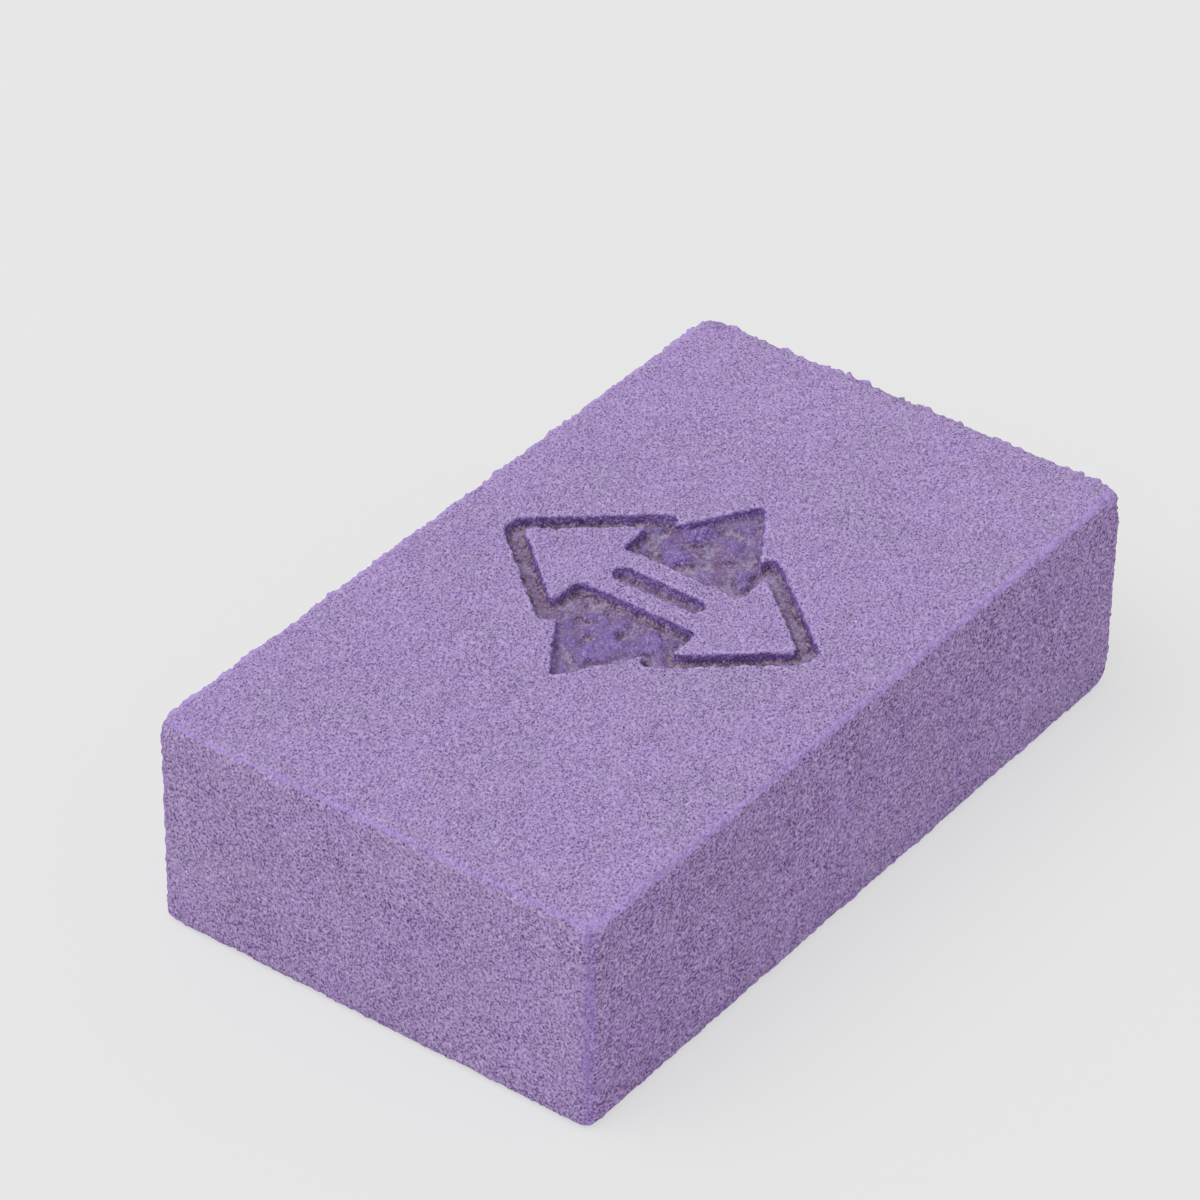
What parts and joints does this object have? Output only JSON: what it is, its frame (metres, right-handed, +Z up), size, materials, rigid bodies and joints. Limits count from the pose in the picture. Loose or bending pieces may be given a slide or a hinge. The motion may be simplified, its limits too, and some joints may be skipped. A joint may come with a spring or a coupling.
{
  "type": "suede eraser",
  "caption": "Rectangular block of firm, fine-pored violet cleaning foam with softly rounded edges and a double-headed arrow sign sunk into its top face.",
  "frame": {"origin": "middle of the flat bottom face", "axes": "+X along the block's length, +Y across its width, +Z up through the face with the sign"},
  "size_m": [0.075, 0.0436, 0.0203],
  "materials": {
    "violet_foam": "matte, finely pored, slightly crumbly cut foam; darker and a little glossier where the sign is burnt in"
  },
  "bodies": {
    "root": {"eraser_block": "violet_foam"}
  },
  "joints": []
}
